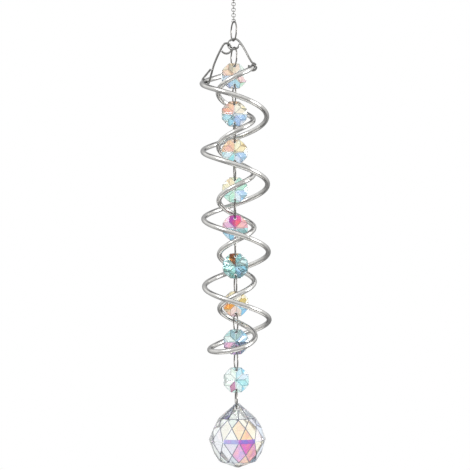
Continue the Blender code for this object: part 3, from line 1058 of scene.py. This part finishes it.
def octagon_film(quarters, deep_colours_and_shade, middle, chance):
    """Faces that look the same way are one facet, so each direction keeps what was drawn for it."""
    drawn = {}

    def film_of(normal, centre):
        way = math.degrees(math.atan2(normal.z, normal.x))
        key = (round(way / WAY_STEP), round(normal.y * LEANS_A_UNIT))
        if key not in drawn:
            change = chance.uniform(-ORDER_CHANGE, ORDER_CHANGE)
            drawn[key] = (change, chance.uniform(LEAST_SHOWN, 1.0), chance.random())
        change, shown, luck = drawn[key]
        nearest = max(range(4), key=lambda index: math.cos(math.radians(way - QUARTER_WAYS[index])))
        order = quarters[nearest] + change
        if luck > CLEAR_LUCK:
            shown = CLEAR_SHOWN
        away = centre - middle
        spot = math.degrees(math.atan2(away.z, away.x))
        for deep_way, reach, deep_order, shade in deep_colours_and_shade:
            if abs(normal.y) > FACET_LEAN and abs(spot - deep_way) < reach:
                return deep_order, 1.0, shade, DEEP_EDGE_SHADE
        if normal.y > FACET_LEAN:
            return order, shown, DARK_SHADE if luck < DARK_LUCK else 1.0, BACK_EDGE_SHADE
        if normal.y < -FACET_LEAN:
            return order, FRONT_SHARE * shown, 1.0, 1.0
        return order, EDGE_SHOWN, 1.0, 1.0

    return film_of


print("each face carries:", *FILM_AND_SHADE_NAMES)

# %% Hanging the crystals
FIRST_SEED = 40

for index, quarters in enumerate(CRYSTAL_FILMS):
    node = f"octagon_crystal_{index + 1:02d}"
    turn = (STRAND_RING_TURNS[index] + STRAND_RING_TURNS[index + 1]) / 2
    place = Matrix.Translation(middle_of(node)) @ Matrix.Rotation(math.radians(turn), 4, "Z")
    crystal = hang_copy(octagon, node, place, octagon_glass)
    deep_colours_and_shade = DEEP_COLOURS_AND_SHADE.get(index + 1, ())
    chance = random.Random(FIRST_SEED + index)
    coat(crystal, octagon_film(quarters, deep_colours_and_shade, middle_of(node), chance))
bpy.data.objects.remove(octagon)
print("crystals hung:", len(CRYSTAL_FILMS))

# %% [markdown]
# ## The crystal ball
# The ball is ground from a block in rows of eleven facets. Each row is set at its own angle, and some
# are turned by half a facet, so diamonds come out with triangles between them, which meet in a level
# line round the middle. The top is left as a blunt tip, because the hole runs through it.

# %% Rows of the ball
BALL_RADIUS = 0.0159
BALL_FACETS_ROUND = 11
BALL_TIP_HEIGHT = 0.0199
BALL_TIP_RADIUS = 0.0011
BALL_CROWN_ANGLE = 48
crown = math.radians(BALL_CROWN_ANGLE)
crown_distance = BALL_TIP_HEIGHT * math.sin(crown) + BALL_TIP_RADIUS * math.cos(crown)
# Each row: its height angle, its distance from the centre, and whether it stands between the
# facets of the two middle rows.
BALL_ROWS = (
    (16.6, 0.9207 * BALL_RADIUS, False),
    (-16.6, 0.9207 * BALL_RADIUS, False),
    (24.65, 0.9101 * BALL_RADIUS, True),
    (-24.65, 0.9101 * BALL_RADIUS, True),
    (34.4, 0.939 * BALL_RADIUS, False),
    (-34.4, 0.939 * BALL_RADIUS, False),
    (-69.2, 0.9176 * BALL_RADIUS, True),
    (BALL_CROWN_ANGLE, crown_distance, False),
)
print("facets to grind:", BALL_FACETS_ROUND * len(BALL_ROWS) + 1)

# %% [markdown]
# Round the ball's widest line, the coated girdle at the back shows through the front as a violet band.
# Two level cuts mark out that band, so that the front can carry a painted image of it.

# %% Cutting the ball
BALL_TURN = 27.5
BALL_CENTRE = Vector((0.00055, 0, -0.256255))
BALL_HOLE = 0.0026
BALL_HOLE_HEIGHT = 0.0176
BALL_POLISHED_EDGE = 0.00024
BALL_BAND = (-0.0009, 0.0014)
BALL_BLOCK = 4 * BALL_TIP_HEIGHT
# Where four facets come together, their corners miss by a hair. They are brought together.
BALL_SAME_CORNER = 0.0004

put_down_everything()
bpy.ops.mesh.primitive_cube_add(size=BALL_BLOCK)
ball = bpy.context.object
ball.name = "crystal_ball_piece"
open_for_editing(ball)
for row_angle, distance, between in BALL_ROWS:
    lift = math.radians(row_angle)
    half_step = 0.5 if between else 0
    for step in range(BALL_FACETS_ROUND):
        way = math.radians(360 / BALL_FACETS_ROUND * (step + half_step) + BALL_TURN)
        outward = Vector((math.cos(lift) * math.cos(way), math.cos(lift) * math.sin(way), math.sin(lift)))
        grind(outward * distance, outward)
grind(Vector((0, 0, BALL_TIP_HEIGHT)), Vector((0, 0, 1)))
for level in BALL_BAND:
    bpy.ops.mesh.select_all(action="SELECT")
    bpy.ops.mesh.bisect(plane_co=(0, 0, level), plane_no=(0, 0, 1), threshold=SAME_PLACE)
bpy.ops.mesh.select_all(action="SELECT")
bpy.ops.mesh.remove_doubles(threshold=BALL_SAME_CORNER)
bpy.ops.mesh.normals_make_consistent(inside=False)
bpy.ops.object.mode_set(mode="OBJECT")
soften_edges(ball, BALL_POLISHED_EDGE)
# The hole is in line with the ring, a little left of the ball's middle.
ring_line = Matrix.Rotation(math.radians(STRAND_RING_TURNS[-1]), 4, "Z")
off_middle = Matrix.Translation((BALL_CENTRE.x, 0, 0))
ball.data.transform(ring_line.inverted() @ off_middle)
drill(ball, BALL_HOLE_HEIGHT, BALL_HOLE, BALL_BLOCK)
ball.data.transform(ring_line)
ball.data.transform(Matrix.Translation((0, 0, BALL_CENTRE.z)))
print("ball facets:", faces_of(ball), "worn edges:", count_shaded_edges(ball))

# %% Film orders of the ball
# Where the facets on the front look, in degrees to the right of the front, from left to right.
IN_LINE = (-46, -13, 19, 52)
BETWEEN = (-30, 3, 36, 68)
HALF_A_FACET = 12
# Each row of facets: its lowest and highest normal.z, where its facets look, and for each of them
# the film's order and amount, and its painted shade.
BALL_FILMS_AND_SHADE = (
    (0.68, 0.90, IN_LINE, ((0.55, 0.35, 0.55), (0.92, 0.20, 1.0), (0.98, 0.20, 1.0), (0.60, 0.20, 1.0))),
    (0.50, 0.66, IN_LINE, ((0.90, 0.15, 1.0), (0.93, 0.40, 0.9), (0.15, 0.35, 0.95), (0.50, 0.20, 1.0))),
    (0.36, 0.48, BETWEEN, ((0.12, 0.25, 0.95), (0.22, 0.60, 1.0), (0.17, 0.45, 1.0), (0.58, 0.3, 0.9))),
    (0.20, 0.34, IN_LINE, ((0.45, 0.12, 1.0), (0.04, 0.35, 1.0), (0.25, 0.80, 1.0), (0.34, 0.15, 1.0))),
    (-0.34, -0.20, IN_LINE, ((0.48, 0.10, 1.0), (0.44, 0.28, 1.0), (0.405, 1.0, 0.9), (0.12, 0.40, 1.0))),
    (-0.48, -0.36, BETWEEN, ((0.46, 0.12, 1.0), (0.41, 0.75, 1.0), (0.36, 0.80, 0.9), (0.55, 0.25, 1.0))),
    (-0.66, -0.50, IN_LINE, ((0.90, 0.12, 1.0), (0.56, 0.25, 0.8), (0.27, 0.70, 1.0), (0.60, 0.50, 0.35))),
    (-0.97, -0.85, BETWEEN, ((0.90, 0.10, 1.0), (0.14, 0.25, 1.0), (0.22, 0.45, 0.8), (0.75, 0.45, 0.5))),
)
# The painted image of the girdle has colour on two stretches: from and to where, then order, amount
# and painted shade.
PAINTED_BAND_IMAGE = ((-24, 2, 0.47, 0.80, 0.90), (2, 36, 0.475, 1.0, 0.72))
# Order, amount and shade where the film hardly shows.
CLEAR_FRONT = (0.92, 0.08, 1.0)
CLEAR_BACK = (0.95, 0.06, 1.0)
FRONT_LIMIT = -0.1
LEVEL_LIMIT = 0.12
# How much of the painted edge shade stays on level faces at the front, and on the back.
LEVEL_EDGE_SHADE, BALL_BACK_EDGE_SHADE = 0.3, 0.15


def ball_film(normal, centre):
    """A facet on the front takes the film and painted shade of its row and its place in it, and the band
    its painted image of the girdle. The back is almost clear.
    """
    if normal.y > FRONT_LIMIT:
        return *CLEAR_BACK, BALL_BACK_EDGE_SHADE
    way = math.degrees(math.atan2(normal.x, -normal.y))
    if BALL_BAND[0] < centre.z - BALL_CENTRE.z < BALL_BAND[1]:
        for leftmost, rightmost, *film in PAINTED_BAND_IMAGE:
            if leftmost < way < rightmost:
                return *film, 0.0
    if abs(normal.z) < LEVEL_LIMIT:
        return *CLEAR_FRONT, LEVEL_EDGE_SHADE
    for lowest, highest, ways, films in BALL_FILMS_AND_SHADE:
        if lowest < normal.z < highest:
            for facet_way, film in zip(ways, films):
                if abs(way - facet_way) < HALF_A_FACET:
                    return *film, 1.0
    return *CLEAR_FRONT, 1.0


coat(ball, ball_film)
ball.data.materials.append(ball_glass)
hand_over(ball, "crystal_ball")
print("rows of film on the ball:", len(BALL_FILMS_AND_SHADE))
